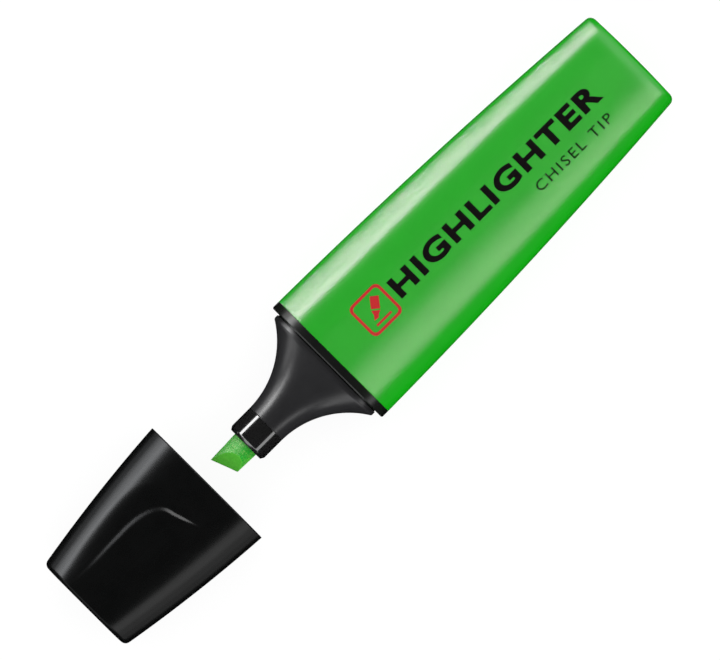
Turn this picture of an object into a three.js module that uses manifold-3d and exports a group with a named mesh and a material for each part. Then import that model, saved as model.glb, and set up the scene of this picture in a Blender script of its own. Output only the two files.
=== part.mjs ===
// A capped highlighter pen with a wide, flat body. It lies on its wide face, and its cap is off,
// pulled straight back along the pen from the nib.
//
// Millimetres. +X runs along the pen from the cap to the barrel's back end, +Y across its width and
// +Z up. The origin is the middle of the whole object in plan, on the surface that it lies on.
// Inside this file, distances along the pen are counted from the cap seat, the shoulder of the
// collar that the cap's rim meets when the cap is on. The group is moved to the origin at the end.

import * as THREE from "three";
import { mergeVertices } from "three/addons/utils/BufferGeometryUtils.js";
import Module from "manifold-3d";

// ---- Driving dimensions ----

// The whole pen
const PEN_WIDTH = 26.8;
const PEN_THICKNESS = 17;
const HALF_WIDTH = PEN_WIDTH / 2;
const HALF_THICKNESS = PEN_THICKNESS / 2;
const FIT_GAP = 0.1; // between pieces that meet or slide into each other

// The cross-section: a superellipse, split by a flat strip along the middle of each wide face
const BODY_FLAT_SHARE = 0.18; // of the half-width
const BODY_POWER = 2.5;
const BARREL_BACK_POWER = 3.6; // the barrel grows squarer towards its back end
const ROUND_FLAT_SHARE = 0.02;
const ROUND_POWER = 2;

// Barrel
const BARREL_BACK = 75;
const BARREL_BACK_HALF_WIDTH = 10.25;
const BARREL_STRAIGHTNESS = 0.22; // the share of the taper that is straight, the rest is an arc
const BARREL_WALL = 1.3;
const BARREL_END_WALL = 1.6;
const BARREL_EDGE_RADIUS = 1.1;
const RIB_THICKNESS = 1;
const RIB_SPREAD = 4.6; // of the upper and lower ribs, from the middle of the pen
const RIB_FRONT = 9.5;

// Front section: collar, cap register, flared neck and the skirt inside the barrel
const COLLAR_LENGTH = 1.6;
const REGISTER_LENGTH = 1;
const REGISTER_INSET = 1.5;
const NECK_ARC_FOOT = -15.2; // where the flare would run parallel to the axis
const NECK_WIDTH_ARC = 16.6;
const NECK_HEIGHT_ARC = 34.5;
const NECK_BORE_RADIUS = 3.3;
const SKIRT_END = 8;
const SKIRT_WALL = 1.2;

// Nozzle
const NOZZLE_RADIUS = 3.94;
const NOZZLE_BACK = -14.9;
const NOZZLE_FRONT = -19.95;
const NOZZLE_EDGE_RADIUS = 0.7;
const NOZZLE_BORE_RADIUS = 2.68;
const SPIGOT_BACK = -9;

// Nib
const NIB_RADIUS = 2.58;
const NIB_BACK = 14;
const NIB_BACK_RADIUS = 1.6;
const NIB_BACK_TAPER = 3;
const NIB_LONG_SIDE = -26.1; // the tip on the pen's +Y side
const NIB_SHORT_SIDE = -24.3; // the tip on its -Y side
const NIB_EDGE_HALF_THICKNESS = 0.35;
const NIB_BEVEL_ANGLE = THREE.MathUtils.degToRad(40);

// Ink reservoir and the film round it
const RESERVOIR_FRONT = 6;
const RESERVOIR_BACK = 71;
const RESERVOIR_HALF_WIDTH = 8.3;
const RESERVOIR_HALF_THICKNESS = 5.3;
const RESERVOIR_SOCKET_DEPTH = 9;
const FILM_THICKNESS = 0.3;

// Cap, whose own distances are counted from its rim towards its closed end
const CAP_OFF = 29.4; // from the cap seat to the rim of the cap as it lies
const CAP_LENGTH = 29.9;
const CAP_END_HALF_WIDTH = 9.85;
const CAP_STRAIGHTNESS = 0.54;
const CAP_WALL = 1.3;
const CAP_END_WALL = 1.6;
const CAP_EDGE_RADIUS = 0.9;

// Seal inside the cap
const SEAL_LIP_DEPTH = 15.4;
const SEAL_FLOOR_DEPTH = 27;
const SEAL_OUTER_RADIUS = 5.1;
const SEAL_INNER_RADIUS = NOZZLE_RADIUS + 0.16;
const SEAL_CHAMFER = 0.5;
const SEAL_FLANGE_RADIUS = 6.4;
const SEAL_FLANGE_THICKNESS = 1;

// Fineness of the meshes
const QUARTER_STEPS = 8; // points along each quarter of a cross-section
const EDGE_STEPS = 3; // along a rounded edge
const TURNED_SIDES = 40;

const wasm = await Module();
wasm.setup();

// ---- Cross-sections ----

// The half-width of a piece that narrows from one end to the other, at the share t of its length.
function tapered(t, from, to, straightness) {
  const share = straightness * t + (1 - straightness) * t * t;
  return from + (to - from) * share;
}

// One cross-section across the pen at the distance x. roundness runs from 0, the flat body's
// outline, to 1, a circle's.
function crossSection(x, halfWidth, halfHeight, roundness = 0, bodyPower = BODY_POWER) {
  const { lerp } = THREE.MathUtils;
  const strip = halfWidth * lerp(BODY_FLAT_SHARE, ROUND_FLAT_SHARE, roundness);
  const exponent = 2 / lerp(bodyPower, ROUND_POWER, roundness);
  const quarter = [];
  for (let i = 0; i <= QUARTER_STEPS; i++) {
    const angle = (i / QUARTER_STEPS) * (Math.PI / 2);
    const across = Math.abs(Math.cos(angle)) ** exponent;
    const up = Math.abs(Math.sin(angle)) ** exponent;
    quarter.push([strip + (halfWidth - strip) * (i < QUARTER_STEPS ? across : 0), halfHeight * up]);
  }
  const upper = [...quarter, ...quarter.map(([y, z]) => [-y, z]).reverse()];
  const lower = upper.slice(1, -1).map(([y, z]) => [-y, -z]);
  return [...upper, ...lower].map(([y, z]) => new THREE.Vector3(x, y, z + HALF_THICKNESS));
}

// A closed skin over a row of cross-sections, which run towards +X.
function loft(sections) {
  const count = sections[0].length;
  const points = sections.flat();
  const faces = [];
  for (let s = 0; s < sections.length - 1; s++) {
    for (let i = 0; i < count; i++) {
      const next = (i + 1) % count;
      const near = s * count;
      const far = near + count;
      faces.push(near + i, near + next, far + next);
      faces.push(near + i, far + next, far + i);
    }
  }
  const last = (sections.length - 1) * count;
  for (let i = 1; i < count - 1; i++) {
    faces.push(0, i + 1, i);
    faces.push(last, last + i, last + i + 1);
  }
  const geometry = new THREE.BufferGeometry().setFromPoints(points);
  geometry.setIndex(faces);
  return geometry;
}

// Cross-sections round a rounded edge at the end of a piece: towards is +1 or -1 along the pen.
function roundedEnd(endX, towards, halfWidth, halfHeight, radius, bodyPower) {
  const sections = [];
  for (let i = 0; i <= EDGE_STEPS; i++) {
    const angle = (i / EDGE_STEPS) * (Math.PI / 2);
    const inset = radius * (1 - Math.cos(angle));
    const x = endX - towards * radius * (1 - Math.sin(angle));
    sections.push(crossSection(x, halfWidth - inset, halfHeight - inset, 0, bodyPower));
  }
  return sections;
}

function evenly(from, to, steps) {
  return Array.from({ length: steps + 1 }, (_, i) => from + ((to - from) * i) / steps);
}

// ---- Solids ----

// A shape turned about the pen's axis. Each point of the profile is [distance along the pen,
// radius], and the profile closes on itself or starts and ends on the axis.
function turned(profile) {
  const points = profile.map(([x, radius]) => new THREE.Vector2(radius, x));
  const geometry = new THREE.LatheGeometry(points, TURNED_SIDES);
  geometry.rotateZ(-Math.PI / 2);
  geometry.translate(0, 0, HALF_THICKNESS);
  return geometry;
}

// A block with one face through the given point, which lies on the side that the normal points to.
function blockBeyond(point, normal, size) {
  const geometry = new THREE.BoxGeometry(size, size, size);
  geometry.translate(0, 0, size / 2);
  const turn = new THREE.Quaternion().setFromUnitVectors(new THREE.Vector3(0, 0, 1), normal);
  geometry.applyQuaternion(turn);
  geometry.translate(point.x, point.y, point.z);
  return geometry;
}

function box(low, high) {
  const size = high.clone().sub(low);
  const geometry = new THREE.BoxGeometry(size.x, size.y, size.z);
  const middle = low.clone().add(high).multiplyScalar(0.5);
  return geometry.translate(middle.x, middle.y, middle.z);
}

function toSolid(geometry) {
  const plain = geometry.clone();
  plain.deleteAttribute("normal");
  plain.deleteAttribute("uv");
  const merged = mergeVertices(plain);
  return new wasm.Manifold(
    new wasm.Mesh({
      numProp: 3,
      vertProperties: merged.attributes.position.array,
      triVerts: new Uint32Array(merged.index.array),
    }),
  );
}

function toGeometry(solid) {
  const { vertProperties, triVerts } = solid.getMesh();
  const geometry = new THREE.BufferGeometry();
  geometry.setAttribute("position", new THREE.BufferAttribute(vertProperties, 3));
  geometry.setIndex(new THREE.BufferAttribute(triVerts, 1));
  return geometry;
}

// ---- Barrel ----

function barrelHalfWidth(x) {
  const t = (x - COLLAR_LENGTH) / (BARREL_BACK - COLLAR_LENGTH);
  return tapered(t, HALF_WIDTH, BARREL_BACK_HALF_WIDTH, BARREL_STRAIGHTNESS);
}

// A cross-section of the barrel at the distance x, a step in from its outside.
function barrelSection(x, inset) {
  const t = Math.max(x - COLLAR_LENGTH, 0) / (BARREL_BACK - COLLAR_LENGTH);
  const power = BODY_POWER + (BARREL_BACK_POWER - BODY_POWER) * t ** 2;
  return crossSection(x, barrelHalfWidth(x) - inset, HALF_THICKNESS - inset, 0, power);
}

function barrelOutside() {
  const front = COLLAR_LENGTH + FIT_GAP;
  const edge = BARREL_BACK - BARREL_EDGE_RADIUS;
  const sides = evenly(front, edge, 10)
    .slice(0, -1)
    .map((x) => barrelSection(x, 0));
  const end = roundedEnd(
    BARREL_BACK,
    1,
    barrelHalfWidth(edge),
    HALF_THICKNESS,
    BARREL_EDGE_RADIUS,
    BARREL_BACK_POWER,
  );
  return toSolid(loft([...sides, ...end]));
}

function barrelInside() {
  const sections = evenly(0, BARREL_BACK - BARREL_END_WALL, 10).map((x) =>
    barrelSection(x, BARREL_WALL),
  );
  return toSolid(loft(sections));
}

// Ribs that stand in from the wall to the film: two above, two below and one on each side.
function barrelRibs() {
  const filmHalfWidth = RESERVOIR_HALF_WIDTH + FIT_GAP + FILM_THICKNESS;
  const filmHalfHeight = RESERVOIR_HALF_THICKNESS + FIT_GAP + FILM_THICKNESS;
  const back = BARREL_BACK;
  const half = RIB_THICKNESS / 2;
  const ribs = [];
  for (const side of [-1, 1]) {
    const inner = side * (filmHalfWidth + FIT_GAP);
    const outer = side * HALF_WIDTH;
    ribs.push(
      box(
        new THREE.Vector3(RIB_FRONT, Math.min(inner, outer), HALF_THICKNESS - half),
        new THREE.Vector3(back, Math.max(inner, outer), HALF_THICKNESS + half),
      ),
    );
    for (const face of [-1, 1]) {
      const low = HALF_THICKNESS + face * (filmHalfHeight + FIT_GAP);
      const high = HALF_THICKNESS + face * HALF_THICKNESS;
      const middle = side * RIB_SPREAD;
      ribs.push(
        box(
          new THREE.Vector3(RIB_FRONT, middle - half, Math.min(low, high)),
          new THREE.Vector3(back, middle + half, Math.max(low, high)),
        ),
      );
    }
  }
  return ribs.map(toSolid);
}

function barrel() {
  let hollow = barrelInside();
  for (const rib of barrelRibs()) hollow = hollow.subtract(rib);
  return toGeometry(barrelOutside().subtract(hollow));
}

// ---- Front section ----

// How far the flare stands out from the nozzle's radius at x, for an arc of the given radius.
function flare(x, arcRadius) {
  const along = x - NECK_ARC_FOOT;
  return arcRadius - Math.sqrt(arcRadius ** 2 - along ** 2);
}

function neckSection(x, wall = 0) {
  const widest = HALF_WIDTH - REGISTER_INSET;
  const halfWidth = Math.min(NOZZLE_RADIUS + flare(x, NECK_WIDTH_ARC), widest);
  const halfHeight = NOZZLE_RADIUS + flare(x, NECK_HEIGHT_ARC);
  const roundness = (widest - halfWidth) / (widest - NOZZLE_RADIUS);
  const least = NECK_BORE_RADIUS;
  const innerWidth = Math.max(halfWidth - wall, least);
  return crossSection(x, innerWidth, Math.max(halfHeight - wall, least), roundness);
}

function frontSectionOutside() {
  const skirtInset = BARREL_WALL + FIT_GAP;
  const registerHalfWidth = HALF_WIDTH - REGISTER_INSET;
  const registerHalfHeight = HALF_THICKNESS - REGISTER_INSET;
  const skirtHalfHeight = HALF_THICKNESS - skirtInset;
  const skirt = [COLLAR_LENGTH, SKIRT_END].map((x) =>
    crossSection(x, barrelHalfWidth(x) - skirtInset, skirtHalfHeight),
  );
  return toSolid(
    loft([
      ...evenly(NOZZLE_BACK, -REGISTER_LENGTH, 10).map((x) => neckSection(x)),
      crossSection(0, registerHalfWidth, registerHalfHeight),
      crossSection(0, HALF_WIDTH, HALF_THICKNESS),
      crossSection(COLLAR_LENGTH, HALF_WIDTH, HALF_THICKNESS),
      ...skirt,
    ]),
  );
}

function frontSectionInside() {
  const inset = BARREL_WALL + FIT_GAP + SKIRT_WALL;
  const funnel = evenly(SPIGOT_BACK, -REGISTER_LENGTH, 6).map((x) => neckSection(x, 2 * SKIRT_WALL));
  const skirt = [COLLAR_LENGTH, SKIRT_END + 1].map((x) =>
    crossSection(x, barrelHalfWidth(x) - inset, HALF_THICKNESS - inset),
  );
  return toSolid(loft([...funnel, ...skirt]));
}

function frontSection() {
  const bore = toSolid(
    turned([
      [NOZZLE_BACK - 1, 0],
      [NOZZLE_BACK - 1, NECK_BORE_RADIUS],
      [0, NECK_BORE_RADIUS],
      [0, 0],
    ]),
  );
  return toGeometry(frontSectionOutside().subtract(frontSectionInside()).subtract(bore));
}

// ---- Nozzle and nib ----

function nozzle() {
  const spigotRadius = NECK_BORE_RADIUS - FIT_GAP;
  const edgeX = NOZZLE_FRONT + NOZZLE_EDGE_RADIUS;
  const edgeRadius = NOZZLE_RADIUS - NOZZLE_EDGE_RADIUS;
  const edge = evenly(0, Math.PI / 2, EDGE_STEPS).map((angle) => [
    edgeX - NOZZLE_EDGE_RADIUS * Math.cos(angle),
    edgeRadius + NOZZLE_EDGE_RADIUS * Math.sin(angle),
  ]);
  const shoulder = NOZZLE_BACK - FIT_GAP;
  return turned([
    [NOZZLE_FRONT, NOZZLE_BORE_RADIUS],
    ...edge,
    [shoulder, NOZZLE_RADIUS],
    [shoulder, spigotRadius],
    [SPIGOT_BACK, spigotRadius],
    [SPIGOT_BACK, NOZZLE_BORE_RADIUS],
    [NOZZLE_FRONT, NOZZLE_BORE_RADIUS],
  ]);
}

// A round rod, cut across by a slanted end and by a bevel from each wide face.
function nib() {
  const rod = turned([
    [NIB_LONG_SIDE - 1, 0],
    [NIB_LONG_SIDE - 1, NIB_RADIUS],
    [NIB_BACK - NIB_BACK_TAPER, NIB_RADIUS],
    [NIB_BACK, NIB_BACK_RADIUS],
    [NIB_BACK, 0],
  ]);
  const edgeMiddle = new THREE.Vector3(
    (NIB_LONG_SIDE + NIB_SHORT_SIDE) / 2,
    0,
    HALF_THICKNESS,
  );
  const slant = NIB_LONG_SIDE - NIB_SHORT_SIDE;
  const forward = new THREE.Vector3(-2 * NIB_RADIUS, slant, 0).normalize();
  const size = 8 * NIB_RADIUS;
  let solid = toSolid(rod).subtract(toSolid(blockBeyond(edgeMiddle, forward, size)));
  for (const face of [-1, 1]) {
    const up = new THREE.Vector3(0, 0, face);
    const start = edgeMiddle.clone().addScaledVector(up, NIB_EDGE_HALF_THICKNESS);
    const normal = up
      .clone()
      .multiplyScalar(Math.cos(NIB_BEVEL_ANGLE))
      .addScaledVector(forward, Math.sin(NIB_BEVEL_ANGLE));
    solid = solid.subtract(toSolid(blockBeyond(start, normal, size)));
  }
  return toGeometry(solid);
}

// ---- Ink reservoir and its film ----

function reservoirLoft(front, back, grow) {
  const halfWidth = RESERVOIR_HALF_WIDTH + grow;
  const halfHeight = RESERVOIR_HALF_THICKNESS + grow;
  return toSolid(
    loft([crossSection(front, halfWidth, halfHeight), crossSection(back, halfWidth, halfHeight)]),
  );
}

function inkReservoir() {
  const socketRadius = NIB_RADIUS + FIT_GAP;
  const socketFloor = RESERVOIR_FRONT + RESERVOIR_SOCKET_DEPTH;
  const socket = turned([
    [RESERVOIR_FRONT - 1, 0],
    [RESERVOIR_FRONT - 1, socketRadius],
    [socketFloor, socketRadius],
    [socketFloor, 0],
  ]);
  const core = reservoirLoft(RESERVOIR_FRONT, RESERVOIR_BACK, 0);
  return toGeometry(core.subtract(toSolid(socket)));
}

function reservoirFilm() {
  const inside = reservoirLoft(RESERVOIR_FRONT - 1, RESERVOIR_BACK + 1, FIT_GAP);
  const outside = reservoirLoft(RESERVOIR_FRONT, RESERVOIR_BACK, FIT_GAP + FILM_THICKNESS);
  return toGeometry(outside.subtract(inside));
}

// ---- Cap and its seal ----

// The half-width of the cap's outside at a depth from its rim.
function capHalfWidth(depth) {
  return tapered(depth / CAP_LENGTH, HALF_WIDTH, CAP_END_HALF_WIDTH, CAP_STRAIGHTNESS);
}

function capShell() {
  const edge = CAP_LENGTH - CAP_EDGE_RADIUS;
  const endWidth = capHalfWidth(edge);
  const end = roundedEnd(-CAP_LENGTH, -1, endWidth, HALF_THICKNESS, CAP_EDGE_RADIUS).reverse();
  const sides = evenly(edge, 0, 8)
    .slice(1)
    .map((depth) => crossSection(-depth, capHalfWidth(depth), HALF_THICKNESS));
  const outside = toSolid(loft([...end, ...sides]));
  const hollow = evenly(CAP_LENGTH - CAP_END_WALL, -1, 8).map((depth) =>
    crossSection(-depth, capHalfWidth(depth) - CAP_WALL, HALF_THICKNESS - CAP_WALL),
  );
  return toGeometry(outside.subtract(toSolid(loft(hollow))));
}

// A cup that closes round the nozzle, with a flange on the cap's end wall.
function capSeal() {
  const flangeBack = -(CAP_LENGTH - CAP_END_WALL - FIT_GAP);
  const flangeFront = flangeBack + SEAL_FLANGE_THICKNESS;
  const lip = -SEAL_LIP_DEPTH;
  return turned([
    [flangeBack, 0],
    [flangeBack, SEAL_FLANGE_RADIUS],
    [flangeFront, SEAL_FLANGE_RADIUS],
    [flangeFront, SEAL_OUTER_RADIUS],
    [lip, SEAL_OUTER_RADIUS],
    [lip, SEAL_INNER_RADIUS + SEAL_CHAMFER],
    [lip - SEAL_CHAMFER, SEAL_INNER_RADIUS],
    [-SEAL_FLOOR_DEPTH, SEAL_INNER_RADIUS],
    [-SEAL_FLOOR_DEPTH, 0],
  ]);
}

// ---- Materials ----

function plastic(color, roughness) {
  return new THREE.MeshStandardMaterial({ color, roughness, metalness: 0 });
}

const GREEN_PLASTIC = plastic("#2ca728", 0.25);
const SATIN_BLACK = plastic("#2b2b2d", 0.45);
const GLOSSY_BLACK = plastic("#121413", 0.12);
const SEAL_PLASTIC = plastic("#d9d8d0", 0.4);
const FILM_PLASTIC = plastic("#eef0ea", 0.15);
const GREEN_FIBRE = plastic("#5fb83c", 0.9);
const INKED_FIBRE = plastic("#86d64a", 0.95);

// ---- Assembly ----

function mesh(name, geometry, material) {
  const made = new THREE.Mesh(geometry, material);
  made.name = name;
  return made;
}

const pen = new THREE.Group();
pen.add(
  mesh("barrel", barrel(), GREEN_PLASTIC),
  mesh("front_section", frontSection(), SATIN_BLACK),
  mesh("nozzle", nozzle(), GLOSSY_BLACK),
  mesh("nib", nib(), GREEN_FIBRE),
  mesh("ink_reservoir", inkReservoir(), INKED_FIBRE),
  mesh("reservoir_film", reservoirFilm(), FILM_PLASTIC),
);

const cap = new THREE.Group();
cap.add(mesh("cap_shell", capShell(), GLOSSY_BLACK), mesh("cap_seal", capSeal(), SEAL_PLASTIC));
cap.position.x = -CAP_OFF;

const highlighter = new THREE.Group();
highlighter.add(pen, cap);
highlighter.position.x = (CAP_OFF + CAP_LENGTH - BARREL_BACK) / 2;

export default highlighter;
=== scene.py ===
"""A capped highlighter pen, lying with its cap pulled off, seen from straight above.

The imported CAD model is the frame. Every piece below is built in millimetres along the pen, counted
from the cap seat (the collar's front face) as the CAD is, and is placed by the frame's boxes.
"""

import math

import bmesh
import bpy
import numpy as np
from mathutils import Matrix, Vector, noise


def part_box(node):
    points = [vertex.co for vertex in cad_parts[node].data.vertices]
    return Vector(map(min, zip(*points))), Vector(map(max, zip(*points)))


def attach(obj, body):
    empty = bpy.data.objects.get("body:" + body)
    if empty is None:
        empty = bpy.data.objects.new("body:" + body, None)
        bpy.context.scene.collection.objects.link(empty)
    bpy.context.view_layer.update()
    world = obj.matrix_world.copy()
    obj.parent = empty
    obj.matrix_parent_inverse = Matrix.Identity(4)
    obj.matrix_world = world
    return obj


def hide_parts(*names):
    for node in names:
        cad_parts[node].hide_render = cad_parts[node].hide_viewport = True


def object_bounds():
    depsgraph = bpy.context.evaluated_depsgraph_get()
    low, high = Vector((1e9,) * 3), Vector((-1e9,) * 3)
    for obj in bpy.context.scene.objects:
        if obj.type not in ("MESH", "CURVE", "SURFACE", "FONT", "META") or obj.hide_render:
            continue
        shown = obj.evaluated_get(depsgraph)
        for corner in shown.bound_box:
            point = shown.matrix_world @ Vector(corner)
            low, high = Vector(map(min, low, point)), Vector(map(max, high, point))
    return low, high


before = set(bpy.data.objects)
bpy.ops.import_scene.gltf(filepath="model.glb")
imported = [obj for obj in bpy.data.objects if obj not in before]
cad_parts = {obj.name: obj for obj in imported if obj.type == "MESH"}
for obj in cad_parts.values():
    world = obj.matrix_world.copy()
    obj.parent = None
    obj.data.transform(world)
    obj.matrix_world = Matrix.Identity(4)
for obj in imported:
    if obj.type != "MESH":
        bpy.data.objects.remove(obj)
cad_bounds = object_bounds()

# ---- Dimensions, in millimetres ----

MM = 0.001
BARREL_LOW, BARREL_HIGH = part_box("barrel")
FRONT_LOW, FRONT_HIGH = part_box("front_section")
NOZZLE_LOW, NOZZLE_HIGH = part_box("nozzle")
NIB_LOW, NIB_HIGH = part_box("nib")
CORE_LOW, CORE_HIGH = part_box("ink_reservoir")
FILM_LOW, FILM_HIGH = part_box("reservoir_film")
CAP_LOW, CAP_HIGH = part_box("cap_shell")
SEAL_LOW, SEAL_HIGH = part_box("cap_seal")

COLLAR_LENGTH = 1.6
FIT_GAP = 0.1
SEAM = 0.01  # what shows of the fit where two pieces meet end to end
SEAT = BARREL_LOW.x / MM - COLLAR_LENGTH - FIT_GAP  # where the cap seat is in the shared frame
AXIS = (BARREL_LOW.z + BARREL_HIGH.z) / 2 / MM  # the height of the pen's axis


def along(x_in_metres):
    """A place along the shared frame's X as millimetres from the cap seat."""
    return x_in_metres / MM - SEAT


HALF_WIDTH = BARREL_HIGH.y / MM
HALF_THICKNESS = AXIS
BODY_FLAT_SHARE, BODY_POWER = 0.18, 2.5
BARREL_BACK_POWER = 3.6  # the barrel grows squarer towards its back end
ROUND_FLAT_SHARE, ROUND_POWER = 0.02, 2.0

BARREL_BACK = along(BARREL_HIGH.x)
BARREL_BACK_HALF_WIDTH = 10.25
BARREL_STRAIGHTNESS = 0.22
BARREL_WALL = 1.3
BARREL_END_WALL = 1.6

REGISTER_LENGTH = 1.0
REGISTER_INSET = 1.5
REGISTER_CHAMFER = 0.12
GROOVE_LENGTH, GROOVE_DEPTH = 0.2, 0.2
COLLAR_CHAMFER = (0.22, 0.2)  # along the pen, and in from the collar's side
NECK_ARC_FOOT = -15.2
NECK_WIDTH_ARC = 16.6
NECK_HEIGHT_ARC = 34.5
NECK_BORE_RADIUS = 3.3
NECK_WALL = 2.4
SKIRT_END = along(FRONT_HIGH.x)
SKIRT_WALL = 1.2

NOZZLE_RADIUS = (NOZZLE_HIGH.z - NOZZLE_LOW.z) / 2 / MM
NOZZLE_FRONT = along(NOZZLE_LOW.x)
NOZZLE_BACK = along(FRONT_LOW.x)
NOZZLE_BORE_RADIUS = 2.68
NOZZLE_CHAMFER = (0.65, 0.38)  # along the pen, and in from the nozzle's side
SPIGOT_BACK = along(NOZZLE_HIGH.x)

NIB_RADIUS = (NIB_HIGH.z - NIB_LOW.z) / 2 / MM
NIB_BACK = along(NIB_HIGH.x)
NIB_LONG_SIDE = along(NIB_LOW.x)
NIB_SHORT_SIDE = NIB_LONG_SIDE + 1.8
NIB_EDGE_HALF_THICKNESS = 0.35
NIB_BEVEL_ANGLE = math.radians(40)
NIB_TAPER = 0.08  # the share of its width that the nib loses between the nozzle and its tip

CAP_RIM = along(CAP_HIGH.x)
CAP_LENGTH = (CAP_HIGH.x - CAP_LOW.x) / MM
CAP_END_HALF_WIDTH = 9.85
CAP_STRAIGHTNESS = 0.54
CAP_WALL = 1.3
CAP_END_WALL = 1.6

SEAL_OUTER_RADIUS = 5.1
SEAL_INNER_RADIUS = NOZZLE_RADIUS + 0.16
SEAL_FLANGE_RADIUS = (SEAL_HIGH.z - SEAL_LOW.z) / 2 / MM
SEAL_FLOOR_DEPTH = 27.0  # from the cap's rim to the bottom of the cup
SEAL_BEAD = 0.3  # how far the bead at the lip stands out


# ---- Cross-sections and skins ----

FACE_SHARES = (0.02, 0.2, 0.4, 0.6, 0.8, 0.92, 0.98)  # of an end face's size, one for each ring
END_MARGIN = 0.25  # between a closed end's rounded edge and the rings of its face
INNER_CORNER = 2.0  # from the inside of a wall to the rings of a closed end's inner face


def tapered(t, start, end, straightness):
    """The half-width of a narrowing piece at the share t of its length."""
    share = straightness * t + (1 - straightness) * t * t
    return start + (end - start) * share


def barrel_half_width(x):
    front = COLLAR_LENGTH
    t = (x - front) / (BARREL_BACK - front)
    return tapered(t, HALF_WIDTH, BARREL_BACK_HALF_WIDTH, BARREL_STRAIGHTNESS)


def cap_half_width(depth):
    return tapered(depth / CAP_LENGTH, HALF_WIDTH, CAP_END_HALF_WIDTH, CAP_STRAIGHTNESS)


def outline(half_width, half_height, roundness=0.0, power=BODY_POWER, quarter_steps=24, strip_steps=6):
    """Points (y, z) round one cross-section, evenly spaced within each quarter and each strip."""
    flat = BODY_FLAT_SHARE + (ROUND_FLAT_SHARE - BODY_FLAT_SHARE) * roundness
    power += (ROUND_POWER - power) * roundness
    strip = half_width * flat
    angle = np.linspace(0, math.pi / 2, 241)
    y = strip + (half_width - strip) * np.abs(np.cos(angle)) ** (2 / power)
    z = half_height * np.abs(np.sin(angle)) ** (2 / power)
    y[-1] = strip
    run = np.concatenate([[0], np.cumsum(np.hypot(np.diff(y), np.diff(z)))])
    at = np.linspace(0, run[-1], quarter_steps + 1)
    quarter = np.stack([np.interp(at, run, y), np.interp(at, run, z)], axis=1)
    strip_y = np.linspace(strip, -strip, strip_steps + 1)[1:-1]
    top = np.stack([strip_y, np.full_like(strip_y, half_height)], axis=1)
    upper = np.concatenate([quarter, top, quarter[::-1] * [-1, 1]])
    lower = upper[1:-1] * [-1, -1]
    return np.concatenate([upper, lower])


def rounded_path(points, radii, steps=6):
    """A path of straight lines with each inner corner turned into an arc of the given radius."""
    points = [np.array(p, float) for p in points]
    path = [points[0]]
    for before, corner, after, radius in zip(points, points[1:], points[2:], radii, strict=False):
        back = (before - corner) / np.linalg.norm(before - corner)
        on = (after - corner) / np.linalg.norm(after - corner)
        half = math.acos(float(np.clip(back @ on, -1, 1))) / 2
        if radius <= 0 or half > math.pi / 2 - 1e-3:
            path.append(corner)
            continue
        reach = radius / math.tan(half)
        middle = corner + (back + on) / np.linalg.norm(back + on) * radius / math.sin(half)
        start, end = corner + back * reach - middle, corner + on * reach - middle
        turn = math.pi - 2 * half
        sign = math.copysign(1, start[0] * end[1] - start[1] * end[0])
        for i in range(steps + 1):
            a = sign * turn * i / steps
            spin = np.array([[math.cos(a), -math.sin(a)], [math.sin(a), math.cos(a)]])
            path.append(middle + spin @ start)
    path.append(points[-1])
    return path


def densified(path, longest):
    """The path with points added so that no step along it is longer than the given length."""
    full = [path[0]]
    for a, b in zip(path, path[1:], strict=False):
        steps = max(1, math.ceil(np.linalg.norm(b - a) / longest))
        full += [a + (b - a) * i / steps for i in range(1, steps + 1)]
    return full


def skin(rings, loop=False):
    """Vertices and faces of a skin over rings of (n, 3) points.

    A loop closes on itself. Otherwise each end closes on a point.
    """
    count = len(rings[0])
    verts = np.concatenate(rings)
    faces = []
    spans = len(rings) if loop else len(rings) - 1
    for s in range(spans):
        near, far = s * count, (s + 1) % len(rings) * count
        for i in range(count):
            j = (i + 1) % count
            faces.append((near + i, near + j, far + j, far + i))
    if not loop:
        ends = np.array([rings[0].mean(0), rings[-1].mean(0)])
        first, last = len(verts), len(verts) + 1
        verts = np.concatenate([verts, ends])
        top = (len(rings) - 1) * count
        for i in range(count):
            j = (i + 1) % count
            faces.append((first, j, i))
            faces.append((last, top + i, top + j))
    return verts, faces


def ring_at(x, half_width, half_height, roundness=0.0, **steps):
    yz = outline(half_width, half_height, roundness, **steps)
    return np.column_stack([np.full(len(yz), x), yz])


def turned(path, sides=128):
    """Rings of a shape turned about the pen's axis, from a path of (place along the pen, radius)."""
    angle = np.linspace(0, 2 * math.pi, sides, endpoint=False)
    circle = np.stack([np.cos(angle), np.sin(angle)], axis=1)
    return [np.column_stack([np.full(sides, x), circle * r]) for x, r in path]


def face_rings(x, half_width, half_height, crown=0.0, **steps):
    """Rings over an end face, from near its middle to near its edge.

    The middle stands proud by crown.
    """
    return [
        ring_at(x + crown * (1 - s * s), half_width * s, half_height * s, **steps)
        for s in FACE_SHARES
    ]


def piece(name, verts, faces, materials, body, replaces=(), sharp_degrees=180.0):
    """An object that rides a body, from vertices in pen millimetres."""
    placed = (np.asarray(verts, float) + [SEAT, 0, AXIS]) * MM
    mesh = bpy.data.meshes.new(name)
    mesh.from_pydata(placed.tolist(), [], faces)
    work = bmesh.new()
    work.from_mesh(mesh)
    bmesh.ops.recalc_face_normals(work, faces=work.faces)
    work.to_mesh(mesh)
    work.free()
    mesh.polygons.foreach_set("use_smooth", [True] * len(mesh.polygons))
    if sharp_degrees < 180:
        mesh.set_sharp_from_angle(angle=math.radians(sharp_degrees))
    for material in materials:
        mesh.materials.append(material)
    made = bpy.data.objects.new(name, mesh)
    bpy.context.scene.collection.objects.link(made)
    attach(made, body)
    if replaces:
        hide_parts(*replaces)
    return made


# ---- Materials ----


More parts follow.
